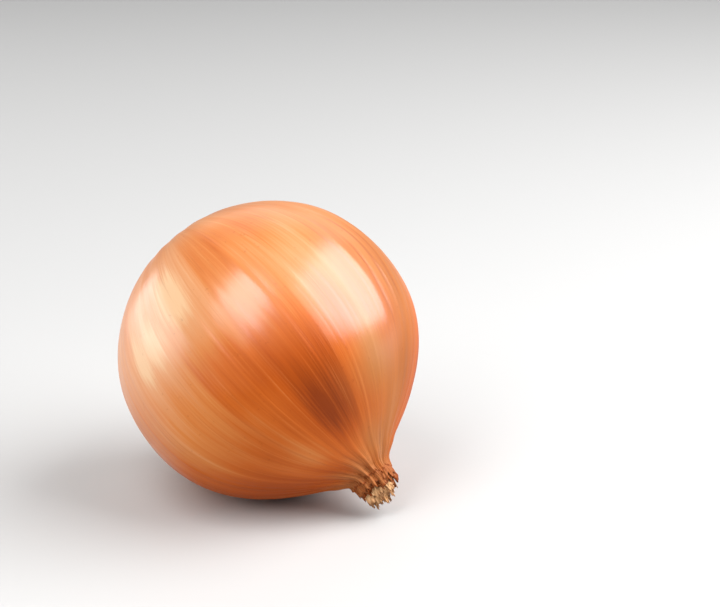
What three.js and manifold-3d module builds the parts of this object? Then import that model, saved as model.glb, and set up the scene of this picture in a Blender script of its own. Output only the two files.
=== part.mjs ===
// A dry brown onion lying on its side, with its neck turned down towards the surface.
// Millimetres, +Z up. The origin is the centre of the small flat spot that the onion rests on,
// and the neck points towards +X and down.
//
// Each piece is shaped upright first, growing along its own +Y from the roots to the neck, with the
// middle of the bulb's widest section at its centre. The group at the end lays the onion down.

import * as THREE from 'three';
import { mergeVertices } from 'three/addons/utils/BufferGeometryUtils.js';
import Module from 'manifold-3d';

const wasm = await Module();
wasm.setup();

// Driving dimensions

const GLOBE_RADIUS = 43.2; // at the widest section
const ROOT_FULLNESS = 0.63; // how long the side stays full towards the roots, as a share of the radius
const NECK_FULLNESS = 0.695; // the same towards the neck
const ROOT_LIP_HEIGHT = -40.4; // lowest skin, round the root plate
const ROOT_LIP_RADIUS = 8.6;
const ROOT_DISH_RADIUS = 7.2; // the dish in the skin that the root plate fills
const ROOT_DISH_HEIGHT = -37.6;
const SHOULDER_RADIUS = 10.8; // where the shoulder turns up into the neck
const SHOULDER_HEIGHT = 42.4;
const SHOULDER_SLOPE = THREE.MathUtils.degToRad(37);
const SHOULDER_PULL = 5.9; // length of the straight slope below the shoulder
const NECK_RADIUS = 5.3; // at the torn rim
const OUTER_TEAR_HEIGHT = 47.0; // where the outermost skin has torn off round the neck
const RIM_HEIGHT = 50.4; // mean height of the torn rim of the brown skins
const SKIN_STEP = 0.55; // thickness of the dry skins at a torn edge
const RIM_WALL = 0.8;
const CUP_DEPTH = 4.6; // how far the rim stands above the closed inside of the neck

const VEINS = 28; // raised veins round the bulb
const VEIN_RELIEF = 0.24;
const PLEATS = 14; // folds of the dry neck
const PLEAT_RELIEF = 0.5;
const NECK_TWIST = THREE.MathUtils.degToRad(16);
const OVAL_RELIEF = 0.35; // how far the widest section is from round
const FULL_SIDE = THREE.MathUtils.degToRad(141); // the fuller side of the bulb, which lies uppermost
const FULL_RELIEF = 0.8;
const LONG_SIDE = THREE.MathUtils.degToRad(219); // where the torn skins reach furthest, here and opposite
const RIM_FLARE = 1.1; // how far a flap of the rim stands out on that side
const OUTER_TEAR = { slow: 0.5, ragged: 0.8, phase: 0.6 }; // wander of the outermost skin's torn edge
const RIM_TEAR = { slow: 1.6, ragged: 1.1, phase: 2.0 }; // the same for the rim
const NECK_DROP = 1.5; // how far the end of the neck sags towards the surface

const AXIS_TILT = THREE.MathUtils.degToRad(40); // the neck end lies this far below level
const CENTRE_HEIGHT = 41.75; // of the globe's centre above the surface
const REST_SHIFT = 1.1; // of the globe's centre from the flat spot, towards the neck

const PIECE_GAP = 0.3; // between pieces that touch on the real onion
const COLUMNS = 3 * VEINS; // one column on each crest and one each side of it

// Seeded random numbers from 0 to 1, so that each build places the same repeats.
function randomNumbers(seed) {
  let state = seed;
  return () => {
    state = (state + 0x6d2b79f5) | 0;
    let t = Math.imul(state ^ (state >>> 15), 1 | state);
    t = (t + Math.imul(t ^ (t >>> 7), 61 | t)) ^ t;
    return ((t ^ (t >>> 14)) >>> 0) / 4294967296;
  };
}

// 0 below low, 1 above high, with a smooth turn between.
function ramp(low, high, value) {
  return THREE.MathUtils.smoothstep(value, low, high);
}

// 1 at the middle of a span, fading to 0 at either end.
function hump(low, middle, high, value) {
  return ramp(low, middle, value) * (1 - ramp(middle, high, value));
}

function solidFrom(geometry) {
  const bare = new THREE.BufferGeometry().setAttribute('position', geometry.getAttribute('position'));
  bare.setIndex(geometry.index);
  const merged = mergeVertices(bare, 1e-4);
  return new wasm.Manifold(
    new wasm.Mesh({
      numProp: 3,
      vertProperties: merged.attributes.position.array,
      triVerts: new Uint32Array(merged.index.array),
    }),
  );
}

function geometryFrom(solid) {
  const mesh = solid.getMesh();
  const geometry = new THREE.BufferGeometry();
  geometry.setAttribute('position', new THREE.BufferAttribute(mesh.vertProperties, 3));
  geometry.setIndex(new THREE.BufferAttribute(mesh.triVerts, 1));
  geometry.computeVertexNormals();
  return geometry;
}

// Moves every vertex of a geometry by a rule.
function reshape(geometry, rule) {
  const positions = geometry.getAttribute('position');
  const point = new THREE.Vector3();
  for (let i = 0; i < positions.count; i += 1) {
    point.fromBufferAttribute(positions, i);
    rule(point);
    positions.setXYZ(i, point.x, point.y, point.z);
  }
  return geometry;
}

// The neck sags sideways, more and more towards its end.
function sag(height) {
  const start = SHOULDER_HEIGHT - 8;
  const share = Math.max(0, height - start) / (RIM_HEIGHT - start);
  return NECK_DROP * share * share;
}

// The brown skin

// Half section from the middle of the root dish, round the globe, up the neck to its torn rim, and
// down the inside of the rim to the axis.
function skinProfile() {
  const path = new THREE.Path();
  path.moveTo(0, ROOT_DISH_HEIGHT + 0.3);
  path.lineTo(ROOT_DISH_RADIUS * 0.6, ROOT_DISH_HEIGHT + 0.1);
  path.lineTo(ROOT_DISH_RADIUS, ROOT_DISH_HEIGHT);
  path.quadraticCurveTo(ROOT_DISH_RADIUS + 0.1, ROOT_LIP_HEIGHT + 0.1, ROOT_LIP_RADIUS, ROOT_LIP_HEIGHT);
  path.bezierCurveTo(
    GLOBE_RADIUS * 0.44, ROOT_LIP_HEIGHT - 0.1,
    GLOBE_RADIUS, -ROOT_FULLNESS * GLOBE_RADIUS,
    GLOBE_RADIUS, 0,
  );
  path.bezierCurveTo(
    GLOBE_RADIUS, NECK_FULLNESS * GLOBE_RADIUS,
    SHOULDER_RADIUS + SHOULDER_PULL * Math.cos(SHOULDER_SLOPE),
    SHOULDER_HEIGHT - SHOULDER_PULL * Math.sin(SHOULDER_SLOPE),
    SHOULDER_RADIUS, SHOULDER_HEIGHT,
  );
  const stepRadius = NECK_RADIUS + 0.4;
  path.bezierCurveTo(
    SHOULDER_RADIUS - 3.1, SHOULDER_HEIGHT + 2.4,
    stepRadius + SKIN_STEP, OUTER_TEAR_HEIGHT - 2.6,
    stepRadius + SKIN_STEP, OUTER_TEAR_HEIGHT,
  );
  path.lineTo(stepRadius, OUTER_TEAR_HEIGHT + 0.1);
  path.lineTo((stepRadius + NECK_RADIUS) / 2, (OUTER_TEAR_HEIGHT + RIM_HEIGHT) / 2);
  path.lineTo(NECK_RADIUS, RIM_HEIGHT);
  path.lineTo(NECK_RADIUS - RIM_WALL, RIM_HEIGHT - 0.2);
  path.lineTo(NECK_RADIUS - RIM_WALL, RIM_HEIGHT - CUP_DEPTH);
  path.lineTo(0, RIM_HEIGHT - CUP_DEPTH);
  return path;
}

// Steps along each stretch of the half section, finer where it turns more tightly.
const PROFILE_STEPS = [1, 1, 2, 13, 13, 5, 1, 1, 1, 1, 1, 1];

function profilePoints() {
  const points = [];
  skinProfile().curves.forEach((curve, index) => {
    const some = curve.getPoints(PROFILE_STEPS[index]);
    points.push(...(index ? some.slice(1) : some));
  });
  return points;
}

const strengthDraw = randomNumbers(11);
const veinStrengths = Array.from({ length: VEINS }, () => 0.35 + 0.65 * strengthDraw());

// Raised veins, strongest over the middle of the globe and gone at the roots and on the neck.
function veinRelief(angle, height) {
  const turn = ((angle / (2 * Math.PI)) * VEINS + VEINS) % VEINS;
  const strength = veinStrengths[Math.round(turn) % VEINS];
  const crest = Math.max(0, Math.cos(2 * Math.PI * turn)) ** 2;
  const along = ramp(-GLOBE_RADIUS * 0.95, -GLOBE_RADIUS * 0.5, height) * (1 - ramp(38, 44, height));
  return VEIN_RELIEF * strength * crest * along;
}

// Folds of the neck and puckers round the root plate.
function pleatRelief(angle, height) {
  const fold = Math.sin(PLEATS * angle + 0.9 * Math.sin(3 * angle));
  const neck = ramp(SHOULDER_HEIGHT - 7, OUTER_TEAR_HEIGHT - 1, height);
  const root = (1 - ramp(ROOT_LIP_HEIGHT, ROOT_LIP_HEIGHT + 5, height)) * 0.5;
  return PLEAT_RELIEF * fold * (neck + root);
}

// The globe isn't quite round: it is flattened a little one way, and fuller on one side near the neck.
function lobes(angle, height) {
  const equator = 1 - (height / GLOBE_RADIUS) ** 2;
  const fuller = Math.cos(angle - FULL_SIDE) * hump(-10, 16, 40, height);
  return OVAL_RELIEF * Math.max(0, equator) * Math.cos(2 * angle + 0.8) + FULL_RELIEF * fuller;
}

// Up and down wander of a torn edge: a slow wave, with ragged points of three sizes on it.
function tornEdge(angle, { slow, ragged, phase }) {
  const wave = Math.cos(2 * (angle - LONG_SIDE));
  const large = Math.sin(5 * angle + phase);
  const middling = Math.sin(12 * angle + 2.3 * phase);
  const small = Math.sin(19 * angle + 4.1 * phase);
  return slow * wave + ragged * (0.45 * large + 0.35 * middling + 0.4 * small);
}

function bulbSolid() {
  const lathe = new THREE.LatheGeometry(profilePoints(), COLUMNS);
  reshape(lathe, (p) => {
    const radius = Math.hypot(p.x, p.z);
    const height = p.y;
    const angle = Math.atan2(p.z, p.x);
    const inside = height > SHOULDER_HEIGHT && radius < NECK_RADIUS - RIM_WALL / 2;
    const reliefs = veinRelief(angle, height) + pleatRelief(angle, height) + lobes(angle, height);
    const plain = inside || (height < ROOT_DISH_HEIGHT + 1 && radius < ROOT_LIP_RADIUS);
    const flap = Math.max(0, Math.cos(angle - LONG_SIDE)) ** 8 * ramp(OUTER_TEAR_HEIGHT, RIM_HEIGHT, height);
    const moved = radius + (plain ? 0 : reliefs) + RIM_FLARE * flap;
    const nearTear = inside ? 0 : hump(43.5, OUTER_TEAR_HEIGHT, 49.4, height);
    const tearHere = nearTear * tornEdge(angle, OUTER_TEAR);
    const rimHere = height > RIM_HEIGHT - 1 ? tornEdge(angle, RIM_TEAR) : 0;
    const turned = angle + NECK_TWIST * ramp(SHOULDER_HEIGHT - 4, RIM_HEIGHT, height);
    p.set(
      moved * Math.cos(turned) + sag(height),
      height + tearHere + rimHere,
      moved * Math.sin(turned),
    );
  });
  return solidFrom(lathe);
}

// The pale inner sheaths

const SHEATH_THICKNESS = 0.7;
const SHEATH_FOOT = RIM_HEIGHT - CUP_DEPTH + PIECE_GAP;
const SHEATH_RINGS = [
  { count: 6, radius: 3.75, top: 53.3, span: 1.15, phase: 0.3 },
  { count: 5, radius: 2.85, top: 54.3, span: 1.3, phase: 1.1 },
  { count: 3, radius: 1.95, top: 55.0, span: 1.9, phase: 0.2 },
];

// One dry sheath: a strip curled round the neck's axis, with a torn top that leans out a little.
function sheathSolid(ring, middleAngle, random) {
  const top = ring.top + (random() - 0.5) * 1.6;
  const length = top - SHEATH_FOOT;
  const lean = 0.3 * random();
  const jag = random() * Math.PI;
  const strip = new THREE.BoxGeometry(1, 1, 1, 6, 4, 1);
  reshape(strip, (p) => {
    const up = p.y + 0.5;
    const width = ring.span * (1 - 0.25 * up * up);
    const angle = middleAngle - p.x * width;
    const torn = up > 0.99 ? 1.1 * Math.abs(Math.sin(9 * p.x + jag)) : 0;
    const height = SHEATH_FOOT + up * length - torn;
    const radius = ring.radius - 0.35 * up + lean * up * up + p.z * SHEATH_THICKNESS;
    p.set(radius * Math.cos(angle) + sag(height), height, radius * Math.sin(angle));
  });
  return solidFrom(strip);
}

// The middle of the neck, which every sheath is rooted against.
function neckPithSolid() {
  const top = RIM_HEIGHT + 1.6;
  const pith = new THREE.CylinderGeometry(1.7, 3.9, top - SHEATH_FOOT, 24, 3);
  reshape(pith, (p) => {
    p.y += (top + SHEATH_FOOT) / 2;
    p.x += sag(p.y);
  });
  return solidFrom(pith);
}

function sheathsSolid() {
  const random = randomNumbers(23);
  let solid = neckPithSolid();
  SHEATH_RINGS.forEach((ring) => {
    for (let i = 0; i < ring.count; i += 1) {
      const angle = ring.phase + ((i + 0.25 * random()) / ring.count) * 2 * Math.PI;
      solid = solid.add(sheathSolid(ring, angle, random));
    }
  });
  return solid;
}

// The root plate with its cut roots

const PLATE_RADIUS = ROOT_DISH_RADIUS - 2 * PIECE_GAP;
const PLATE_TOP = ROOT_DISH_HEIGHT - PIECE_GAP;
const PLATE_BOTTOM = ROOT_LIP_HEIGHT + 0.6; // the plate sits a little back from the lip
const ROOT_COUNT = 58;
const ROOT_THICKNESS = 0.42;
const ROOT_LENGTHS = [0.9, 1.9];
const ROOT_SUNK = 1.0; // how deep each root starts in the plate
const GOLDEN_ANGLE = THREE.MathUtils.degToRad(137.508); // from one root to the next, as in a sunflower head

function rootPlateSolid() {
  const profile = new THREE.Path();
  profile.moveTo(0, PLATE_BOTTOM - 0.3);
  profile.quadraticCurveTo(PLATE_RADIUS * 0.7, PLATE_BOTTOM - 0.2, PLATE_RADIUS - 0.6, PLATE_BOTTOM + 0.5);
  profile.lineTo(PLATE_RADIUS - 0.3, PLATE_TOP);
  profile.lineTo(0, PLATE_TOP);
  const plate = new THREE.LatheGeometry(profile.getPoints(5), 36);
  return solidFrom(plate);
}

// One cut root: a slim tapering stub that leans outwards and curls.
function rootSolid(index, random) {
  const share = Math.sqrt((index + 0.5) / ROOT_COUNT);
  const angle = index * GOLDEN_ANGLE;
  const distance = share * (PLATE_RADIUS - 1.2);
  const length = THREE.MathUtils.lerp(...ROOT_LENGTHS, random()) * (1.1 - 0.35 * share);
  const stub = new THREE.CylinderGeometry(ROOT_THICKNESS, ROOT_THICKNESS * 0.55, length + ROOT_SUNK, 5, 2);
  const lean = 0.15 + 0.55 * share + 0.2 * (random() - 0.5);
  const curl = 0.14 * (random() - 0.3);
  const heading = angle + 1.2 * (random() - 0.5);
  reshape(stub, (p) => {
    const down = (length + ROOT_SUNK) / 2 - p.y;
    const side = Math.sin(lean) * down + curl * down * down;
    p.set(
      p.x + distance * Math.cos(angle) + side * Math.cos(heading),
      PLATE_BOTTOM + ROOT_SUNK - down * Math.cos(lean),
      p.z + distance * Math.sin(angle) + side * Math.sin(heading),
    );
  });
  return solidFrom(stub);
}

function rootsSolid() {
  const random = randomNumbers(37);
  let solid = rootPlateSolid();
  for (let i = 0; i < ROOT_COUNT; i += 1) {
    solid = solid.add(rootSolid(i, random));
  }
  return solid;
}

// Laying the onion down

const onion = new THREE.Group();
onion.rotation.set(0, 0, -(Math.PI / 2 + AXIS_TILT));
onion.updateMatrix();
const upright = new THREE.Matrix4().makeRotationX(Math.PI / 2);
const laid = new THREE.Matrix4()
  .makeTranslation(REST_SHIFT, 0, CENTRE_HEIGHT)
  .multiply(upright)
  .multiply(onion.matrix);
laid.decompose(onion.position, onion.quaternion, onion.scale);
onion.updateMatrix();

// The surface that the onion rests on, seen from the onion, which presses its skin flat there.
function surfaceSolid() {
  const thickness = 20;
  const slab = new THREE.BoxGeometry(120, 120, thickness).translate(0, 0, -thickness / 2);
  return solidFrom(slab.applyMatrix4(onion.matrix.clone().invert()));
}

const skinMaterial = new THREE.MeshStandardMaterial({ color: '#cf7434', roughness: 0.35, metalness: 0 });
const sheathMaterial = new THREE.MeshStandardMaterial({ color: '#dcc3a0', roughness: 0.85, metalness: 0 });
const rootMaterial = new THREE.MeshStandardMaterial({ color: '#a98a62', roughness: 0.9, metalness: 0 });

function addPiece(name, solid, material) {
  const piece = new THREE.Mesh(geometryFrom(solid), material);
  piece.name = name;
  onion.add(piece);
}

addPiece('bulb', bulbSolid().subtract(surfaceSolid()), skinMaterial);
addPiece('neck_sheaths', sheathsSolid(), sheathMaterial);
addPiece('root_tuft', rootsSolid(), rootMaterial);

const part = new THREE.Group();
part.add(onion);

export default part;
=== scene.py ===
"""A dry brown onion lying on its side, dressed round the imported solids.

Lengths in the classes are millimetres in the onion's own growth frame: +Y runs along the growth axis
from the roots to the neck, and the origin is the middle of the bulb's widest section. GrowthFrame lays
such points down in the row frame, in metres.
"""

import logging
import math
from dataclasses import dataclass, field
from enum import Enum, IntEnum
from typing import Any, Optional, Sequence

import bpy
import numpy as np
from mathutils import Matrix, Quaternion, Vector


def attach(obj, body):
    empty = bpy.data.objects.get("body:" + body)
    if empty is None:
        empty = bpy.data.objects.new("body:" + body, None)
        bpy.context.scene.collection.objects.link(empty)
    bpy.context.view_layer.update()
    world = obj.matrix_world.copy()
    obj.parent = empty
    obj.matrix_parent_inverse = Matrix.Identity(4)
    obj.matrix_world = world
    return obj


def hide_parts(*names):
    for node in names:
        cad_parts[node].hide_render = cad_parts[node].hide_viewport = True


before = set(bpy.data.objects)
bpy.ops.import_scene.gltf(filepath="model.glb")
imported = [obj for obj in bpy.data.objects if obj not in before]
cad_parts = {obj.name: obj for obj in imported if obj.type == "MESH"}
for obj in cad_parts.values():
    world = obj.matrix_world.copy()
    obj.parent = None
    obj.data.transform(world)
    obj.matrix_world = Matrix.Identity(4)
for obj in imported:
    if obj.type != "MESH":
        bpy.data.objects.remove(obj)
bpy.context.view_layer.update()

PHOTO_WIDTH = 720
PHOTO_HEIGHT = 607
MM = 0.001
TAU = 2 * math.pi
GOLDEN_ANGLE = math.radians(137.508)
WAVES = 24  # cosines in one noise
CURVE_SAMPLES = 400  # points at which a curve's length is taken

Colour = tuple[float, float, float, float]
Socket = bpy.types.NodeSocket
Array = np.ndarray
logging.basicConfig(level=logging.INFO, format="%(message)s")
LOG = logging.getLogger("onion")


class Seed(IntEnum):
    """Seeds of the skin's and the roots' random draws, so that every run gives the same onion."""

    VEIN_WANDER = 5
    SWELLS = 8
    FIBRES = 9
    VEIN_STRENGTHS = 11
    FINE_FOLDS = 31
    CRUMPLES = 32
    WRINKLES = 33
    ROOTLETS = 37
    DRY_EDGE = 41
    KNOBS = 71


def srgb(red: float, green: float, blue: float) -> Colour:
    """Turn a colour given in 8-bit display values into linear values with full alpha.

    Args:
        red: Red, from 0 to 255.
        green: Green, from 0 to 255.
        blue: Blue, from 0 to 255.

    Returns:
        The linear colour and an alpha of 1.
    """
    shares = [channel / 255 for channel in (red, green, blue)]
    linear = [s / 12.92 if s <= 0.04045 else ((s + 0.055) / 1.055) ** 2.4 for s in shares]
    return (linear[0], linear[1], linear[2], 1.0)


def ramp(low: float, high: float, value: Array) -> Array:
    """Rise smoothly from 0 at low to 1 at high, as 3t^2 - 2t^3."""
    share = np.clip((value - low) / (high - low), 0, 1)
    return share * share * (3 - 2 * share)


def hump(low: float, middle: float, high: float, value: Array) -> Array:
    """Rise smoothly from 0 at low to 1 at middle and fall back to 0 at high."""
    return ramp(low, middle, value) * (1 - ramp(middle, high, value))


def bell(away: Array, width: float) -> Array:
    """Fall from 1 at no distance to 1/e at the width, as exp(-(away / width)^2)."""
    return np.exp(-((away / width) ** 2))


def degrees_apart(angle: Array, degrees: float) -> Array:
    """How many degrees, up to 180, angles in radians lie from one given in degrees."""
    return np.abs((np.degrees(angle) - degrees + 180) % 360 - 180)


def ripples(
    angle: Array, height: Array, seed: int, cycles: tuple[int, int], climb: float
) -> Array:
    """Seamless noise round the growth axis: a sum of cosines of n * angle + m * height + a phase.

    Args:
        angle: Angles round the axis, in radians.
        height: Heights along the axis, in millimetres.
        seed: Seed of the draw.
        cycles: Fewest and most cycles round the axis.
        climb: Largest change of phase for each millimetre of height.

    Returns:
        Noise of about unit spread.
    """
    random = np.random.default_rng(seed)
    rounds = random.integers(cycles[0], cycles[1] + 1, WAVES)
    climbs = random.uniform(-climb, climb, WAVES)
    phases = random.uniform(0, TAU, WAVES)
    total = np.zeros(np.broadcast(angle, height).shape)
    for turns, rise, phase in zip(rounds, climbs, phases):
        total = total + np.cos(turns * angle + rise * height + phase)
    return total / math.sqrt(WAVES / 2)


def bezier(controls: Sequence[tuple[float, float]], count: int) -> Array:
    """Points on a cubic curve, (1-t)^3 a + 3(1-t)^2 t b + 3(1-t)t^2 c + t^3 d, evenly spread along it.

    Args:
        controls: The four control points.
        count: Number of points, both ends among them.

    Returns:
        Array of count points.
    """
    a, b, c, d = (np.array(control, float) for control in controls)
    t = np.linspace(0, 1, CURVE_SAMPLES)[:, None]
    points = (1 - t) ** 3 * a + 3 * (1 - t) ** 2 * t * b + 3 * (1 - t) * t**2 * c + t**3 * d
    walked = np.concatenate([[0], np.cumsum(np.linalg.norm(np.diff(points, axis=0), axis=1))])
    stops = np.linspace(0, walked[-1], count)
    return np.stack([np.interp(stops, walked, points[:, k]) for k in range(points.shape[1])], axis=1)


def add_object(name: str, data: bpy.types.ID) -> bpy.types.Object:
    """Make an object and link it into the scene.

    Args:
        name: Name of the object.
        data: Its mesh, light or camera.

    Returns:
        The object.
    """
    made = bpy.data.objects.new(name, data)
    bpy.context.scene.collection.objects.link(made)
    return made


@dataclass(frozen=True)
class GrowthFrame:
    """How the onion lies: where its middle is and how far its neck end is tipped below level."""

    tilt: float = math.radians(40.0)
    centre: tuple[float, float, float] = (1.1, 0.0, 41.75)

    def lay_down(self, points: Array) -> Array:
        """Turn growth-frame millimetres into row-frame metres.

        The place is the centre, plus x along the side that faces down and back, plus y along the growth
        axis, plus z across.

        Args:
            points: Array whose last axis is x, y, z.

        Returns:
            Array of the same shape, in metres.
        """
        side = np.array([-math.sin(self.tilt), 0.0, -math.cos(self.tilt)])
        axis = np.array([math.cos(self.tilt), 0.0, -math.sin(self.tilt)])
        across = np.array([0.0, -1.0, 0.0])
        turned = points[..., 0:1] * side + points[..., 1:2] * axis + points[..., 2:3] * across
        return (turned + np.array(self.centre)) * MM


@dataclass(frozen=True)
class BulbForm:
    """The bulb's main form, which every piece on it shares."""

    globe_radius: float = 43.2
    oval: float = 0.35
    bulge: float = 0.8
    root_fullness: float = 0.63
    neck_fullness: float = 0.695
    root_lip_height: float = -40.4
    root_lip_radius: float = 8.6
    root_dish_radius: float = 7.2
    root_dish_height: float = -37.6
    shoulder_radius: float = 10.8
    shoulder_height: float = 42.4
    shoulder_slope: float = math.radians(37.0)
    shoulder_pull: float = 5.9
    neck_radius: float = 5.3
    skin_step: float = 0.55
    outer_tear_height: float = 47.0
    rim_height: float = 50.4
    rim_wall: float = 0.8
    cup_depth: float = 4.6
    neck_drop: float = 1.5
    neck_twist: float = math.radians(16.0)
    full_side: float = math.radians(141.0)
    long_side: float = math.radians(219.0)
    rim_flare: float = 1.1

    def sag(self, height: Array) -> Array:
        """Sideways drop of the neck: it grows with the square of the height past the shoulder.

        Args:
            height: Heights along the axis.

        Returns:
            The drop at each height.
        """
        start = self.shoulder_height - 8
        share = np.maximum(0, height - start) / (self.rim_height - start)
        return self.neck_drop * share * share

    def twist(self, height: Array) -> Array:
        """Turn of the neck about its axis, rising smoothly from the shoulder to the rim."""
        return self.neck_twist * ramp(self.shoulder_height - 4, self.rim_height, height)

    def lobes(self, angle: Array, height: Array) -> Array:
        """Slow departure from round: an oval section, and a fuller side near the neck.

        Args:
            angle: Angles round the axis.
            height: Heights along the axis.

        Returns:
            What is added to the radius.
        """
        equator = np.maximum(0, 1 - (height / self.globe_radius) ** 2)
        fuller = np.cos(angle - self.full_side) * hump(-10, 16, 40, height)
        return self.oval * equator * np.cos(2 * angle + 0.8) + self.bulge * fuller

    def torn(self, angle: Array, slow: float, ragged: float, phase: float) -> Array:
        """Wander of a torn edge: a slow wave, and ragged points of four sizes on it.

        Args:
            angle: Angles round the axis.
            slow: Size of the slow wave.
            ragged: Size of the ragged points.
            phase: Where the points start, which differs from one edge to another.

        Returns:
            What is added to the height.
        """
        wave = np.cos(angle - self.long_side)
        points = 0.45 * np.sin(5 * angle + phase) + 0.35 * np.sin(12 * angle + 2.3 * phase)
        points = points + 0.4 * np.sin(19 * angle + 4.1 * phase) + 0.25 * np.sin(47 * angle + 7.7 * phase)
        return slow * wave + ragged * points

    def flap(self, angle: Array, low: float, high: float, height: Array) -> Array:
        """Share of the rim's long side, as cos^8 of the angle from it, that rises between two heights."""
        return np.maximum(0, np.cos(angle - self.long_side)) ** 8 * ramp(low, high, height)

    def place(self, radius: Array, angle: Array, height: Array) -> Array:
        """Points at a radius and angle round the sagging, twisting axis.

        Args:
            radius: Distances from the axis.
            angle: Angles round the axis, before the neck's twist.
            height: Heights along the axis.

        Returns:
            Array with a last axis of x, y, z in the growth frame.
        """
        turned = angle + self.twist(height)
        x = radius * np.cos(turned) + self.sag(height)
        z = radius * np.sin(turned)
        return np.stack(np.broadcast_arrays(x, height, z), axis=-1)


class MeshMaker:
    """Turns grids of points into Blender meshes whose objects sit at the origin."""

    def __init__(self, growth: GrowthFrame) -> None:
        """Keep the frame that lays the points down."""
        self.growth = growth

    def _object(self, name: str, vertices: Array, faces: list[Sequence[int]]) -> bpy.types.Object:
        """Make a smooth-shaded mesh object.

        Args:
            name: Name of the object.
            vertices: Row-frame points.
            faces: Corners of each face, by the points' numbers.

        Returns:
            The object.
        """
        mesh = bpy.data.meshes.new(name)
        mesh.from_pydata(vertices.tolist(), [], faces)
        mesh.validate()
        mesh.polygons.foreach_set("use_smooth", np.ones(len(mesh.polygons), bool))
        mesh.update()
        return add_object(name, mesh)

    @staticmethod
    def _net(grids: int, rows: int, columns: int, wrap: bool) -> Array:
        """Corners of the quads that join each row of points to the next, grid after grid.

        Args:
            grids: Number of grids of points.
            rows: Rows of points in a grid.
            columns: Points in a row.
            wrap: Whether the last column is joined to the first.

        Returns:
            Array of quads by four corners: here, the next column, that one a row on, and here a row on.
        """
        start = np.arange(grids)[:, None, None] * rows * columns + np.arange(rows - 1)[:, None] * columns
        here = np.arange(columns if wrap else columns - 1)
        after = (here + 1) % columns
        corners = [start + here, start + after, start + columns + after, start + columns + here]
        return np.stack(corners, axis=-1).reshape(-1, 4)

    def closed_round(self, name: str, rings: Array, press: bool = False) -> bpy.types.Object:
        """Skin a stack of rings that starts and ends on the axis.

        Quads join each ring to the next, and a fan of triangles closes each end on the mean of its
        ring.

        Args:
            name: Name of the object.
            rings: Growth-frame points, rings by columns by 3, in order from the roots to the neck.
            press: Whether points below the surface are pressed up to it.

        Returns:
            The object.
        """
        count, columns = rings.shape[:2]
        ends = np.stack([rings[0].mean(axis=0), rings[-1].mean(axis=0)])
        points = self.growth.lay_down(np.concatenate([rings.reshape(-1, 3), ends]))
        if press:
            points[:, 2] = np.maximum(points[:, 2], 0.0)
        quads = self._net(1, count, columns, wrap=True)[:, [0, 3, 2, 1]]
        here = np.arange(columns)
        after = (here + 1) % columns
        first = count * columns
        top = (count - 1) * columns
        low_fan = np.stack([np.full(columns, first), here, after], axis=-1)
        high_fan = np.stack([np.full(columns, first + 1), top + after, top + here], axis=-1)
        faces = quads.tolist() + low_fan.tolist() + high_fan.tolist()
        return self._object(name, points, faces)

    def sheets(self, name: str, grids: Array, thickness: float) -> bpy.types.Object:
        """Join thin sheets into one object, each given its thickness by a Solidify modifier.

        Args:
            name: Name of the object.
            grids: Growth-frame points, sheets by rows by columns by 3.
            thickness: Thickness in millimetres.

        Returns:
            The object, with the modifier live.
        """
        quads = self._net(*grids.shape[:3], wrap=False)
        points = self.growth.lay_down(grids.reshape(-1, 3))
        made = self._object(name, points, quads.tolist())
        solidify = made.modifiers.new("thickness", "SOLIDIFY")
        solidify.thickness = thickness * MM
        solidify.offset = 0.0
        return made

    def tubes(self, name: str, rings: Array) -> bpy.types.Object:
        """Join many closed slim tubes into one object.

        Args:
            name: Name of the object.
            rings: Growth-frame points, tubes by rings by sides by 3.

        Returns:
            The object.
        """
        tubes, count, sides = rings.shape[:3]
        quads = self._net(tubes, count, sides, wrap=True)
        starts = np.arange(tubes)[:, None] * count * sides
        caps = starts + np.arange(sides)[::-1]
        tips = starts + (count - 1) * sides + np.arange(sides)
        points = self.growth.lay_down(rings.reshape(-1, 3))
        return self._object(name, points, quads.tolist() + caps.tolist() + tips.tolist())

    @staticmethod
    def paint(piece: bpy.types.Object, name: str, values: Array) -> None:
        """Store a number or a vector for each vertex under a name that the materials read.

        Args:
            piece: The object.
            name: Name of the attribute.
            values: One number, or one row of three, for each vertex in order.
        """
        kind, key = ("FLOAT_VECTOR", "vector") if values.ndim == 2 else ("FLOAT", "value")
        attribute = piece.data.attributes.new(name, kind, "POINT")
        attribute.data.foreach_set(key, np.ascontiguousarray(values, np.float32).ravel())


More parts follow.
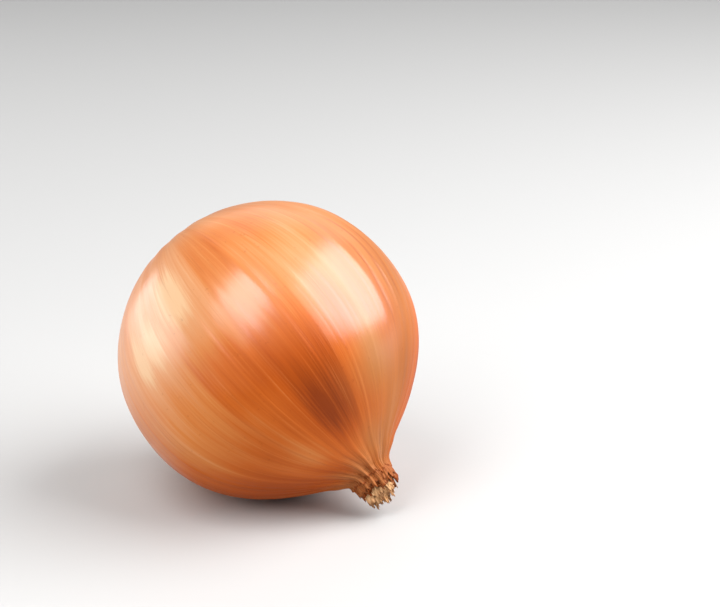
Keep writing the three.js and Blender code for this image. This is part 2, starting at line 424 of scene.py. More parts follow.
class NodeSheet:
    """Adds nodes to one node tree, by short calls that give back a socket."""

    def __init__(self, tree: bpy.types.NodeTree) -> None:
        """Keep the tree."""
        self.tree = tree

    def add(self, kind: str, inputs: Optional[dict[Any, Any]] = None, **settings: Any) -> bpy.types.Node:
        """Add a node.

        Args:
            kind: Blender's name of the node type.
            inputs: Input socket by name or number, and the value or socket that it takes.
            **settings: Properties of the node itself.

        Returns:
            The node.
        """
        node = self.tree.nodes.new(kind)
        for name, value in settings.items():
            setattr(node, name, value)
        for key, value in (inputs or {}).items():
            self.feed(node.inputs[key], value)
        return node

    def feed(self, socket: Socket, value: Any) -> None:
        """Link a socket into another one, or set a plain value on it."""
        if isinstance(value, Socket):
            self.tree.links.new(value, socket)
        else:
            socket.default_value = value

    def attribute(self, name: str, vector: bool = False) -> Socket:
        """Read an attribute of the mesh as a number, or as a vector."""
        node = self.add("ShaderNodeAttribute", attribute_name=name)
        return node.outputs["Vector" if vector else "Fac"]

    def stretch(self, vector: Socket, scale: tuple[float, float, float]) -> Socket:
        """Scale a pattern's coordinates."""
        return self.add("ShaderNodeMapping", {"Vector": vector, "Scale": scale}).outputs["Vector"]

    def noise(self, vector: Socket, scale: Any, detail: float = 3.0, roughness: float = 0.55) -> Socket:
        """Noise between 0 and 1 on the coordinates given."""
        inputs = {"Vector": vector, "Scale": scale, "Detail": detail, "Roughness": roughness}
        return self.add("ShaderNodeTexNoise", inputs).outputs["Fac"]

    def between(
        self, value: Any, low: float, high: float, out_low: float = 0.0, out_high: float = 1.0
    ) -> Socket:
        """Map a span smoothly onto another one, and hold it at the ends."""
        inputs = {"Value": value, "From Min": low, "From Max": high, "To Min": out_low, "To Max": out_high}
        return self.add("ShaderNodeMapRange", inputs, interpolation_type="SMOOTHSTEP").outputs["Result"]

    def maths(self, operation: str, a: Any, b: Any = 0.0) -> Socket:
        """One arithmetic step on two numbers."""
        return self.add("ShaderNodeMath", {0: a, 1: b}, operation=operation).outputs[0]

    def share(self, value: Any, amount: float) -> Socket:
        """A share of a number."""
        return self.maths("MULTIPLY", value, amount)

    def blend(self, share: Any, a: Any, b: Any) -> Socket:
        """Mix two colours, the second by the share given."""
        return self.add("ShaderNodeMix", {"Factor": share, 6: a, 7: b}, data_type="RGBA").outputs[2]

    def stops(self, share: Any, colours: Sequence[tuple[float, Colour]]) -> Socket:
        """Run a number through a row of colours.

        Args:
            share: The number, from 0 to 1.
            colours: Place and colour of each stop, in order.

        Returns:
            The colour socket.
        """
        node = self.add("ShaderNodeValToRGB", {"Fac": share})
        elements = node.color_ramp.elements
        elements[0].position, elements[0].color = colours[0]
        elements[1].position, elements[1].color = colours[-1]
        for position, colour in colours[1:-1]:
            elements.new(position).color = colour
        return node.outputs["Color"]


class NodeGroup:
    """One shader node group: a vector input, number inputs and number outputs."""

    def __init__(self, name: str, vector: str, numbers: Optional[dict[str, float]] = None) -> None:
        """Start the group.

        Args:
            name: Name of the group.
            vector: Name of its vector input.
            numbers: Names of its number inputs, and the value of each.
        """
        self.tree = bpy.data.node_groups.new(name, "ShaderNodeTree")
        self.tree.interface.new_socket(vector, in_out="INPUT", socket_type="NodeSocketVector")
        for key, value in (numbers or {}).items():
            socket = self.tree.interface.new_socket(key, in_out="INPUT", socket_type="NodeSocketFloat")
            socket.default_value = value
        self.sheet = NodeSheet(self.tree)
        self.given = self.sheet.add("NodeGroupInput").outputs

    def put_out(self, results: dict[str, Socket]) -> bpy.types.NodeTree:
        """End the group.

        Args:
            results: Names of its outputs, and what each gives.

        Returns:
            The group's tree.
        """
        for name in results:
            self.tree.interface.new_socket(name, in_out="OUTPUT", socket_type="NodeSocketFloat")
        self.sheet.add("NodeGroupOutput", results)
        return self.tree


class Groups:
    """Shader node groups that several finishes share, each built once."""

    def __init__(self) -> None:
        """Build the groups."""
        self.fibres = self._fibres()
        self.mottle = self._mottle()

    @staticmethod
    def _fibres() -> bpy.types.NodeTree:
        """Dry plant fibres: noise drawn out along the growth lines, at two widths.

        Returns:
            The group, with Broad and Fine outputs, and Height, which mixes them.
        """
        group = NodeGroup("plant_fibres", "Along", {"Broad Scale": 7.0, "Fine Scale": 46.0})
        sheet, given = group.sheet, group.given
        drawn = sheet.stretch(given["Along"], (1.0, 1.0, 0.10))
        finer = sheet.stretch(given["Along"], (1.0, 1.0, 0.018))
        broad = sheet.noise(drawn, given["Broad Scale"], 5.0, 0.5)
        fine = sheet.noise(finer, given["Fine Scale"], 4.0, 0.6)
        height = sheet.maths("ADD", sheet.share(broad, 0.6), sheet.share(fine, 0.4))
        return group.put_out({"Broad": broad, "Fine": fine, "Height": height})

    @staticmethod
    def _mottle() -> bpy.types.NodeTree:
        """Uneven ageing: soft blotches with small freckles in them.

        Returns:
            The group, with Blotch and Freckle outputs.
        """
        group = NodeGroup("dry_mottle", "Place")
        sheet, place = group.sheet, group.given["Place"]
        blotch = sheet.between(sheet.noise(place, 45.0, 4.0), 0.35, 0.7)
        freckle = sheet.between(sheet.noise(place, 620.0, 2.0), 0.66, 0.78)
        return group.put_out({"Blotch": blotch, "Freckle": freckle})


class Finish:
    """Common ground of the finishes: a material with one shader, and calls to fill it."""

    def __init__(self, name: str, groups: Groups) -> None:
        """Start the material.

        Args:
            name: Name of the material.
            groups: The shared node groups.
        """
        self.material = bpy.data.materials.new(name)
        self.material.use_nodes = True
        self.material.node_tree.nodes.clear()
        self.sheet = NodeSheet(self.material.node_tree)
        self.groups = groups
        self.shader = self.sheet.add("ShaderNodeBsdfPrincipled")
        self.sheet.add("ShaderNodeOutputMaterial", {"Surface": self.shader.outputs["BSDF"]})

    def fibres(self, along: Socket, broad: float, fine: float) -> bpy.types.Node:
        """Place the fibre group with this finish's own scales."""
        inputs = {"Along": along, "Broad Scale": broad, "Fine Scale": fine}
        return self.sheet.add("ShaderNodeGroup", inputs, node_tree=self.groups.fibres)

    def mottle(self) -> bpy.types.Node:
        """Place the mottle group on the object's own coordinates."""
        place = self.sheet.add("ShaderNodeTexCoord").outputs["Object"]
        return self.sheet.add("ShaderNodeGroup", {"Place": place}, node_tree=self.groups.mottle)

    def bump(self, height: Socket, depth: float, strength: Any) -> None:
        """Raise the surface by a height map.

        Args:
            height: The height, from 0 to 1.
            depth: Real depth of the whole span, in millimetres.
            strength: Share of the effect, a number or a socket.
        """
        inputs = {"Height": height, "Distance": depth * MM, "Strength": strength}
        node = self.sheet.add("ShaderNodeBump", inputs)
        self.sheet.feed(self.shader.inputs["Normal"], node.outputs["Normal"])

    def dress(self, piece: bpy.types.Object) -> None:
        """Give a piece this finish."""
        piece.data.materials.clear()
        piece.data.materials.append(self.material)


@dataclass(frozen=True)
class SkinPalette:
    """Colours of the dry skin: six by age, from the palest to the darkest, and those of its marks."""

    cream: Colour = (0.68, 0.420, 0.230, 1.0)
    straw: Colour = (0.61, 0.270, 0.112, 1.0)
    gold: Colour = (0.57, 0.185, 0.044, 1.0)
    orange: Colour = (0.50, 0.108, 0.012, 1.0)
    rust: Colour = (0.38, 0.066, 0.004, 1.0)
    brown: Colour = (0.205, 0.031, 0.002, 1.0)
    # The tan colour is faded skin and also painted shade on the right side towards the neck.
    tan: Colour = (0.35, 0.143, 0.042, 1.0)
    # The vein colour also darkens creases and wrinkles, partly as painted shade.
    vein_and_crease_shade: Colour = (0.28, 0.060, 0.010, 1.0)
    pale_vein: Colour = (0.60, 0.300, 0.110, 1.0)
    husk: Colour = (0.44, 0.175, 0.060, 1.0)
    dark_husk: Colour = (0.22, 0.072, 0.020, 1.0)

    def by_age(self) -> Sequence[tuple[float, Colour]]:
        """Each of the six colours, after the age at which it stands."""
        colours = (self.cream, self.straw, self.gold, self.orange, self.rust, self.brown)
        return list(zip((0.0, 0.12, 0.34, 0.56, 0.78, 1.0), colours))


class SkinFinish(Finish):
    """Glossy papery skin: gold near the roots, orange above, rusty near the neck, with fine fibres."""

    base_gloss: float = 0.1
    coat_roughness: float = 0.27
    coat_ior: float = 1.8
    relief: float = 0.14
    fibre_scales: tuple[float, float] = (7.0, 52.0)

    def __init__(self, groups: Groups, palette: SkinPalette = SkinPalette()) -> None:
        """Build the finish from fibre, age, tan, shine, dry, crease and edge; age and tan hold painted
        light too.

        Args:
            groups: The shared node groups.
            palette: The colours.
        """
        super().__init__("papery_skin", groups)
        sheet, sockets = self.sheet, self.shader.inputs
        along = sheet.attribute("fibre", vector=True)
        dry = sheet.attribute("dry")
        fibres = self.fibres(along, *self.fibre_scales)
        broad, fine = fibres.outputs["Broad"], fibres.outputs["Fine"]
        # This tone holds painted highlight and painted shade as well as the skin's own age.
        age_and_painted_light = sheet.attribute("age_and_painted_light")
        age_and_painted_light = sheet.maths("ADD", age_and_painted_light, sheet.between(broad, 0.25, 0.75, -0.10, 0.10))
        age_and_painted_light = sheet.maths("ADD", age_and_painted_light, sheet.between(fine, 0.3, 0.7, 0.05, -0.05))
        colour = sheet.stops(age_and_painted_light, palette.by_age())
        veins = self._veins(along)
        husk = sheet.blend(sheet.between(fine, 0.35, 0.62), palette.dark_husk, palette.husk)
        # Layers over the colour of age, from the lowest: where each lies, its share and its colour
        for mask, share, layer in (
            # The tan layer is faded skin and, on the right side towards the neck, painted shade.
            (sheet.attribute("tan"), 1.0, palette.tan),
            (veins, 0.20, palette.vein_and_crease_shade),
            (sheet.between(fine, 0.55, 0.8), 0.18, palette.pale_vein),
            (dry, 0.8, husk),
            # The crease layer darkens creases and the neck's wrinkles: partly their own brown, partly
            # painted shade in the grooves.
            (sheet.attribute("crease"), 0.65, palette.vein_and_crease_shade),
            (self.mottle().outputs["Freckle"], 0.2, palette.brown),
            # The edge layer is partly dry brown, partly painted shade under the torn step and inside the
            # rim.
            (sheet.attribute("edge"), 0.7, palette.brown),
        ):
            colour = sheet.blend(sheet.share(mask, share), colour, layer)
        sheet.feed(sockets["Base Color"], colour)
        sheet.feed(sockets["Roughness"], sheet.between(fine, 0.3, 0.7, 0.40, 0.58))
        gloss = sheet.maths("MULTIPLY", sheet.attribute("shine"), sheet.between(fine, 0.3, 0.7, 1.0, 0.75))
        sheet.feed(sockets["Coat Weight"], gloss)
        sockets["Specular IOR Level"].default_value = self.base_gloss
        sockets["Coat Roughness"].default_value = self.coat_roughness
        sockets["Coat IOR"].default_value = self.coat_ior
        height = sheet.maths("ADD", fibres.outputs["Height"], sheet.share(veins, 0.4))
        self.bump(height, self.relief, sheet.between(dry, 0.0, 1.0, 0.4, 1.0))

    def _veins(self, along: Socket) -> Socket:
        """Thin veins along the growth lines, some of them hardly there.

        A vein shows where noise that hardly changes along the bulb passes through its middle value.

        Args:
            along: Coordinates along the fibres.

        Returns:
            The veins' strength, from 0 to 1.
        """
        sheet = self.sheet
        drawn = sheet.stretch(along, (1.0, 1.0, 0.03))
        field_value = sheet.noise(drawn, 15.0, 1.0, 0.4)
        away = sheet.maths("ABSOLUTE", sheet.maths("SUBTRACT", field_value, 0.5))
        line = sheet.between(away, 0.0, 0.022, 1.0, 0.0)
        strength = sheet.between(sheet.noise(sheet.stretch(along, (1.0, 1.0, 0.6)), 4.0, 2.0), 0.35, 0.65)
        return sheet.maths("MULTIPLY", line, strength)


@dataclass(frozen=True)
class StrawPalette:
    """Colours of a dull dry piece."""

    light: Colour
    middle: Colour
    dark: Colour


class StrawFinish(Finish):
    """Dull fibrous straw, darker towards torn edges and evened out in blotches."""

    base_gloss: float = 0.2
    relief: float = 0.25
    fibre_scales: tuple[float, float] = (9.0, 60.0)

    def __init__(self, name: str, groups: Groups, palette: StrawPalette, roughness: float) -> None:
        """Build the finish from the attributes fibre and edge.

        Args:
            name: Name of the material.
            groups: The shared node groups.
            palette: The colours.
            roughness: Mean roughness.
        """
        super().__init__(name, groups)
        sheet = self.sheet
        fibres = self.fibres(sheet.attribute("fibre", vector=True), *self.fibre_scales)
        fine, height = fibres.outputs["Fine"], fibres.outputs["Height"]
        colour = sheet.stops(height, [(0.28, palette.dark), (0.5, palette.middle), (0.72, palette.light)])
        colour = sheet.blend(sheet.share(self.mottle().outputs["Blotch"], 0.35), colour, palette.middle)
        colour = sheet.blend(sheet.share(sheet.attribute("edge"), 0.8), colour, palette.dark)
        sheet.feed(self.shader.inputs["Base Color"], colour)
        uneven = sheet.between(fine, 0.3, 0.7, roughness - 0.1, roughness + 0.08)
        sheet.feed(self.shader.inputs["Roughness"], uneven)
        self.shader.inputs["Specular IOR Level"].default_value = self.base_gloss
        self.bump(height, self.relief, 0.7)


@dataclass(frozen=True)
class Panel:
    """A panel of skin between two growth lines, older or younger than the rest."""

    first: float
    last: float
    softness: float
    middle: float
    half_height: float
    strength: float

    def weight(self, angle: Array, height: Array) -> Array:
        """Strength times a step up at the first line, a step down at the last, and exp(-h^4) in height.

        Both steps are smooth, and h is the height from the middle over the half height.

        Args:
            angle: Angles round the axis.
            height: Heights along the axis.

        Returns:
            The weight, with the strength's sign.
        """
        half = (self.last - self.first) / 2
        away = degrees_apart(angle, self.first + half)
        across = 1 - ramp(half - self.softness, half + self.softness, away)
        return self.strength * across * np.exp(-(((height - self.middle) / self.half_height) ** 4))


@dataclass(frozen=True)
class Patch:
    """A soft patch of skin that differs from the rest in age, tan, gloss or smoothness; some are painted
    light.
    """

    angle: float
    height: float
    half_width: float
    half_height: float
    strength: float

    def weight(self, angle: Array, height: Array) -> Array:
        """Strength times a bell curve in angle and height."""
        across = degrees_apart(angle, self.angle) / self.half_width
        return self.strength * np.exp(-(across**2) - ((height - self.height) / self.half_height) ** 2)


def soft_patches(*rows: tuple[float, ...]) -> tuple[Patch, ...]:
    """Patches from rows of angle, height, half width, half height and strength."""
    return tuple(Patch(*row) for row in rows)


@dataclass
class BulbSkin:
    """The bulb: globe, pleated neck and torn rim, in one closed skin.

    Angles in the fields are degrees round the growth axis. The flats meet at band_edges, and a crease is
    given by its angle, its lowest and its highest height. Age patches with a strength above 0 darken the
    skin towards brown and those below 0 lighten it towards cream: most stand for older and younger skin,
    and a few are painted highlight and painted shade. The reliefs and depths are millimetres.
    """

    form: BulbForm
    columns: int = 384
    vein_count: int = 28
    vein_relief: float = 0.2
    vein_width: float = 0.75
    fibre_relief: float = 0.014
    swell_relief: float = 0.10
    pleats: int = 14
    pleat_relief: float = 0.5
    fine_fold_relief: float = 0.12
    crumple_relief: float = 0.16
    wrinkle_depth: float = 0.3
    wrinkle_width: float = 0.16
    band_flatness: float = 0.32
    band_rounding: int = 34
    band_edges: tuple[float, ...] = (
        12, 33, 52, 75, 109, 123, 138.5, 150, 178, 199, 222, 246, 259, 283, 301, 322, 344,
    )
    creases: tuple[tuple[float, float, float], ...] = (
        (191.0, -20.0, 18.0), (184.5, -10.0, 24.0), (197.0, -14.0, 20.0),
    )
    crease_depth: float = 0.12
    crease_width: float = 0.7
    youngest: float = 0.23
    age_rise: float = 0.44
    area_share: float = 0.88
    glossy_side: float = 176.0
    dull_side: float = 90.0
    dull_rim: float = 206.0
    panels: tuple[Panel, ...] = (
        Panel(123, 150, 4.0, 24, 15, 0.17),
        Panel(103, 123, 2.0, 8, 10, 0.14),
        Panel(126, 141, 2.0, -25, 11, 0.16),
        Panel(246, 283, 2.5, 10, 20, 0.20),
        Panel(322, 344, 2.0, -12, 18, 0.16),
        Panel(12, 33, 2.0, 14, 16, -0.14),
    )
    # Rows (88, -12), (94, -16), (109, -20), (159, -8), (165, 21.5) and (187, 8) lighten the skin beside the
    # gloss as painted highlight; rows (190, 26) and (188, 32) darken the right side near the neck as
    # painted shade. The other rows make the skin older or younger.
    patches: tuple[Patch, ...] = soft_patches(
        (134, 30, 10, 10, 0.22), (84, 8, 22, 12, -0.20),
        (94, -16, 30, 12, -0.12), (66, 33, 18, 10, 0.18),
        (88, 22, 20, 9, -0.14), (88, -12, 15, 9, -0.24),
        (109, -20, 9, 10, -0.17), (167, 3, 9, 11, 0.04),
        (159, -8, 8, 8, -0.24), (165, 21.5, 9, 4.5, -0.30),
        (158, -26, 20, 7, 0.17), (102, 35, 16, 5.5, -0.24),
        (74, 14, 11, 16, -0.15), (134, 41, 26, 5.5, -0.26),
        (190, 26, 9, 9, 0.10), (187, 8, 5, 12, -0.12),
        (151, -12, 9, 8, 0.07), (182, -11, 8, 9, 0.12),
        (114, -26, 8, 7, -0.13), (125, 10, 5, 8, 0.15),
        (188, 32, 15, 6, 0.15), (145, -27, 8, 5, 0.10),
        (174, -5, 6, 8, 0.07), (103, 41, 18, 4, 0.21),
        (118, -14, 6, 14, -0.12), (300, 0, 20, 18, -0.18),
        (345, 30, 22, 10, 0.25), (225, 30, 16, 9, 0.15),
    )
    # Tan rows between 156 and 208 degrees darken the right side towards the neck: partly faded skin, partly
    # painted shade. Row (290, 34) is faded skin.
    tanned_and_shaded: tuple[Patch, ...] = soft_patches(
        (168, 28, 17, 7, 0.7), (194, 12, 13, 26, 0.6),
        (165, 43, 28, 4.5, 0.45), (156, 39.5, 14, 4, 0.35),
        (166, 20.5, 8, 6, 0.4), (208, 4, 9, 22, 0.35),
        (182, 37, 12, 6, 0.45), (290, 34, 30, 10, 0.5),
    )
    smooth: Patch = Patch(98, -18, 26, 24, 0.85)
    dulled: tuple[Patch, ...] = soft_patches(
        (121.5, 0, 6.5, 10, 0.78), (149, 4, 5, 7, 0.55),
        (149, -29, 13, 8, 0.5),
    )

    def outline(self) -> tuple[Array, Array, Array]:
        """Half section from the root dish, round the globe and up the neck, then down inside the rim.

        Returns:
            Radii, heights, and a flag that is 1 on the rows inside the rim.
        """
        f = self.form
        r, tear_height, rim_height = f.globe_radius, f.outer_tear_height, f.rim_height
        dish = np.stack([np.linspace(0.4, f.root_dish_radius, 9), np.full(9, f.root_dish_height)], axis=1)
        dish[:, 1] += 0.3 * (1 - dish[:, 0] / f.root_dish_radius)
        dish_edge = (f.root_dish_radius, f.root_dish_height)
        lip_pull = (f.root_dish_radius + 0.1, f.root_lip_height + 0.1)
        root = (f.root_lip_radius, f.root_lip_height)
        root_pull = (0.44 * r, f.root_lip_height - 0.1)
        waist = (r, 0)
        shoulder = (f.shoulder_radius, f.shoulder_height)
        shoulder_pull = (
            f.shoulder_radius + f.shoulder_pull * math.cos(f.shoulder_slope),
            f.shoulder_height - f.shoulder_pull * math.sin(f.shoulder_slope),
        )
        collar_pull = (f.shoulder_radius - 3.1, f.shoulder_height + 2.4)
        step = f.neck_radius + 0.4
        torn = (step + f.skin_step, tear_height)
        lip = bezier([dish_edge, lip_pull, lip_pull, root], 7)
        low = bezier([root, root_pull, (r, -f.root_fullness * r), waist], 84)
        high = bezier([waist, (r, f.neck_fullness * r), shoulder_pull, shoulder], 80)
        collar = bezier([shoulder, collar_pull, (torn[0], tear_height - 2.6), torn], 26)
        tear = np.array([(step + 0.45 * f.skin_step, tear_height + 0.16), (step, tear_height + 0.1)])
        wall = np.linspace((step, tear_height + 0.4), (f.neck_radius, rim_height), 14)
        inner = f.neck_radius - f.rim_wall
        lip_inside = f.neck_radius - 0.35
        rim = np.array([(f.neck_radius - 0.1, rim_height + 0.08), (lip_inside + 0.1, rim_height + 0.06)])
        floor_height = rim_height - f.cup_depth
        bore = np.linspace((lip_inside, rim_height - 0.1), (inner, floor_height), 8)
        base = np.linspace((inner * 0.9, floor_height), (0.4, floor_height), 4)
        outside = np.concatenate([dish, lip[1:], low[1:], high[1:], collar[1:], tear, wall, rim])
        rows = np.concatenate([outside, bore, base])
        inside = (np.arange(len(rows)) >= len(outside)).astype(float)
        return rows[:, :1], rows[:, 1:], inside[:, None]

    def bands(self, angle: Array) -> Array:
        """Broad flats along the growth lines, which break up the gloss.

        Between two edges the section leans towards the straight line that joins them: the sagitta,
        r (cos(half width) / cos(angle from the middle) - 1), times the flatness. A short weighted mean
        rounds it.

        Args:
            angle: Angles round the axis.

        Returns:
            Relief, zero at the edges and below zero between them.
        """
        fine = np.linspace(0, 360, 3600, endpoint=False)
        edges = np.array(self.band_edges)
        closed = np.concatenate([edges, [edges[0] + 360]])
        shifted = np.where(fine < edges[0], fine + 360, fine)
        index = np.clip(np.searchsorted(closed, shifted, side="right") - 1, 0, len(edges) - 1)
        low, high = closed[index], closed[index + 1]
        half, away = np.radians((high - low) / 2), np.radians(shifted - (low + high) / 2)
        flat = self.form.globe_radius * (np.cos(half) / np.cos(away) - 1) * self.band_flatness
        window = np.hanning(2 * self.band_rounding + 1)
        wrapped = np.concatenate([flat[-self.band_rounding:], flat, flat[:self.band_rounding]])
        flat = np.convolve(wrapped, window / window.sum(), mode="valid")
        return np.interp(np.degrees(angle) % 360, fine, flat, period=360)

    def unevenness(self, angle: Array, height: Array) -> Array:
        """Share of the veins and swells that is left, 1 but for the smooth patch."""
        return 1 - self.smooth.weight(angle, height)

    def veins(self, angle: Array, height: Array) -> Array:
        """Raised veins: narrow ridges of uneven strength, gone at the roots and on the neck.

        Each is a bell across the nearest of evenly spread growth lines, which noise makes wander.

        Args:
            angle: Angles round the axis.
            height: Heights along the axis.

        Returns:
            The relief, zero between the veins.
        """
        count = self.vein_count
        strengths = np.random.default_rng(Seed.VEIN_STRENGTHS).uniform(0.25, 1.0, count)
        wander = 0.12 * ripples(angle, height, Seed.VEIN_WANDER, (2, 9), 0.03)
        turn = (angle / TAU * count + wander) % count
        nearest = np.round(turn).astype(int) % count
        away = np.abs(turn - np.round(turn)) * 360 / count
        along = ramp(-41, -22, height) * (1 - ramp(38, 44, height)) * self.unevenness(angle, height)
        return self.vein_relief * strengths[nearest] * bell(away, self.vein_width) * along

    def crease_mask(self, angle: Array, height: Array) -> Array:
        """Where the few thin creases in the outermost skin run: bells across lines that wave a little.

        Args:
            angle: Angles round the axis.
            height: Heights along the axis.

        Returns:
            The mask, from 0 to 1.
        """
        total = np.zeros(np.broadcast(angle, height).shape)
        for degrees, low, high in self.creases:
            wander = math.radians(degrees) + np.radians(0.9) * np.sin(height * 0.21 + degrees)
            away = degrees_apart(angle - wander, 0)
            span = ramp(low, low + 10, height) * (1 - ramp(high - 10, high, height))
            total = total + bell(away, self.crease_width) * span
        return np.clip(total, 0, 1)

    def folds(self, angle: Array, height: Array) -> Array:
        """Folds of the neck, finer folds and crumples between them, and puckers round the root plate.

        The folds are a sine of the angle that is itself bent by a sine, and the rest is noise.

        Args:
            angle: Angles round the axis.
            height: Heights along the axis.

        Returns:
            The relief.
        """
        f = self.form
        start, tear = f.shoulder_height, f.outer_tear_height
        fold = np.sin(self.pleats * angle + 0.9 * np.sin(3 * angle))
        neck = ramp(start - 7, tear - 1, height)
        root = 0.5 * (1 - ramp(f.root_lip_height, f.root_lip_height + 5, height))
        fine = self.fine_fold_relief * ripples(angle, height, Seed.FINE_FOLDS, (24, 44), 0.25)
        crumple = self.crumple_relief * ripples(angle, height, Seed.CRUMPLES, (3, 16), 1.4)
        wrinkled = self.wrinkle_depth * self.wrinkles(angle, height)
        fine, crumple = fine * ramp(start - 12, tear - 1, height), crumple * ramp(start - 3, tear, height)
        return self.pleat_relief * fold * (neck + root) + fine + crumple - wrinkled

    def wrinkles(self, angle: Array, height: Array) -> Array:
        """Narrow wrinkles of the dry neck, where slow noise passes through zero, from 0 to 1."""
        f = self.form
        slow = ripples(angle, height, Seed.WRINKLES, (8, 26), 0.22)
        return bell(slow, self.wrinkle_width) * ramp(f.shoulder_height - 5, f.outer_tear_height, height)

    def age_and_painted_light(self, angle: Array, height: Array) -> Array:
        """How far the skin runs from straw to brown: mostly its age, partly painted highlight and shade.

        It rises smoothly with height. Panels, which end at a growth line on either side, and soft patches,
        which are bell curves in angle and height, are added to it. A few patches lighten the skin as
        painted highlight and a few darken it as painted shade.

        Args:
            angle: Angles round the axis.
            height: Heights along the axis.

        Returns:
            The place of the colour from straw to brown, about 0 to 1, painted light included.
        """
        total = self.youngest + self.age_rise * ramp(-30, 30, height) + 0 * angle
        for area in self.panels + self.patches:
            total = total + self.area_share * area.weight(angle, height)
        return total

    def tan(self, angle: Array, height: Array) -> Array:
        """Where the skin turns tan, from 0 to 1: faded skin, and on the right side near the neck also
        painted shade.
        """
        return sum(patch.weight(angle, height) for patch in self.tanned_and_shaded)

    def shine(self, angle: Array, height: Array) -> Array:
        """How glossy the skin is: full towards the roots and dull towards the neck.

        The gloss reaches further up on the glossy side, where it is also strongest, and less far on the
        dull side. Bells in the angle weaken it on the dull side and at the dull rim.

        Args:
            angle: Angles round the axis.
            height: Heights along the axis.

        Returns:
            The gloss, from 0 to 1.
        """
        from_glossy = degrees_apart(angle, self.glossy_side)
        dull = bell(degrees_apart(angle, self.dull_side), 24)
        rim = bell(degrees_apart(angle, self.dull_rim), 20)
        full = 0.83 + 0.17 * bell(from_glossy, 22)
        reached = height - 14 * bell(from_glossy, 20) + 12 * dull
        gloss = full * (1 - ramp(4, 20, reached)) * (1 - 0.35 * dull - 0.4 * rim)
        return gloss * (1 - sum(patch.weight(angle, height) for patch in self.dulled))

    def dry(self, angle: Array, height: Array) -> Array:
        """How dry and brown the neck is, from 0 on the shoulder to 1 at the torn rim."""
        wander = 1.2 * ripples(angle, 0 * height, Seed.DRY_EDGE, (3, 14), 0.0)
        return ramp(0, 7, height - (self.form.shoulder_height - 3 + wander))

    def build(self, maker: MeshMaker) -> bpy.types.Object:
        """Make the skin as one closed mesh, with the attributes that its finish reads.

        Each row of the outline is a ring. The relief is added to its radius, and the torn edges' wander to
        its height.

        Args:
            maker: The mesh maker.

        Returns:
            The object.
        """
        f = self.form
        radius, height, inside = self.outline()
        angle = np.linspace(0, TAU, self.columns, endpoint=False)[None, :]
        equator = np.clip(radius / f.globe_radius, 0, 1) ** 1.5
        crease = self.crease_mask(angle, height)
        groove = self.wrinkles(angle, height)
        swells = self.swell_relief * ripples(angle, height, Seed.SWELLS, (2, 10), 0.12)
        relief = (
            self.veins(angle, height)
            + self.folds(angle, height)
            + f.lobes(angle, height)
            + self.bands(angle) * equator
            - self.crease_depth * crease
            + swells * equator * self.unevenness(angle, height)
            + self.fibre_relief * ripples(angle, height, Seed.FIBRES, (50, 150), 0.05) * equator
        )
        plain = (inside > 0) | ((height < f.root_dish_height + 1) & (radius < f.root_lip_radius))
        relief = np.where(plain, 0.0, relief)
        flare = f.rim_flare * f.flap(angle, f.outer_tear_height, f.rim_height, height)
        tear = f.torn(angle, 0.5, 0.8, 0.6) * hump(43.5, f.outer_tear_height, 49.4, height) * (1 - inside)
        rim = f.torn(angle, 0.8, 1.1, 2.0) * (height > f.rim_height - 1)
        rings = f.place(radius + relief + flare, angle, height + tear + rim)
        skin = maker.closed_round("bulb_skin", rings, press=True)
        # Creases and wrinkles darken the colour: partly their own brown, partly painted shade in the
        # grooves.
        self._paint(skin, maker, radius, height, inside, angle, np.clip(crease + 0.6 * groove, 0, 1))
        return skin

    def _paint(
        self,
        skin: bpy.types.Object,
        maker: MeshMaker,
        radius: Array,
        height: Array,
        inside: Array,
        angle: Array,
        crease: Array,
    ) -> None:
        """Store fibre and the masks for each vertex, the two end points last.

        Args:
            skin: The object.
            maker: The mesh maker.
            radius: Radius of each ring before the relief.
            height: Height of each ring.
            inside: 1 on the rings inside the rim.
            angle: Angles round the axis.
            crease: Where the creases and wrinkles run.
        """
        f = self.form
        shape = (len(height), self.columns)
        steps = np.hypot(np.diff(radius[:, 0]), np.diff(height[:, 0]))
        walked = np.concatenate([[0], np.cumsum(steps)])[:, None] / f.globe_radius
        fibre = np.stack(np.broadcast_arrays(np.cos(angle), np.sin(angle), walked), axis=-1).reshape(-1, 3)
        at_tear = bell(height - f.outer_tear_height, 0.35)
        at_rim = ramp(f.rim_height - 0.9, f.rim_height, height)
        flap = f.flap(angle, f.rim_height - 4, f.rim_height - 1, height)
        # The edge mask darkens the torn edges and the inside of the rim: partly dry brown, partly painted
        # shade under the torn step and in the cup. The root dish is darkened too.
        edge = np.clip(at_tear + at_rim + inside + flap, 0, 1)
        dish = 0.55 * (radius < f.root_lip_radius) * (height < 0)
        for name, values in (
            ("age_and_painted_light", self.age_and_painted_light(angle, height)),
            ("tan", self.tan(angle, height)),
            ("shine", self.shine(angle, height)),
            ("dry", self.dry(angle, height)),
            ("crease", crease),
            ("edge", np.maximum(edge, dish)),
        ):
            flat = np.broadcast_to(values, shape).reshape(-1)
            maker.paint(skin, name, np.concatenate([flat, flat[[0, -1]]]))
        maker.paint(skin, "fibre", np.concatenate([fibre, fibre[[0, -1]]]))


@dataclass(frozen=True)
class Sleeve:
    """One or more papery wraps round the neck, at one radius.

    Foot and top are heights, and span and phase are angles in radians. Lean, crumple, tear and skew say by
    how much a wrap leans out, is crumpled, is torn, and is longer on the long side.
    """

    count: int
    radius: float
    foot: float
    top: float
    span: float
    phase: float
    lean: float
    crumple: float
    tear: float
    skew: float


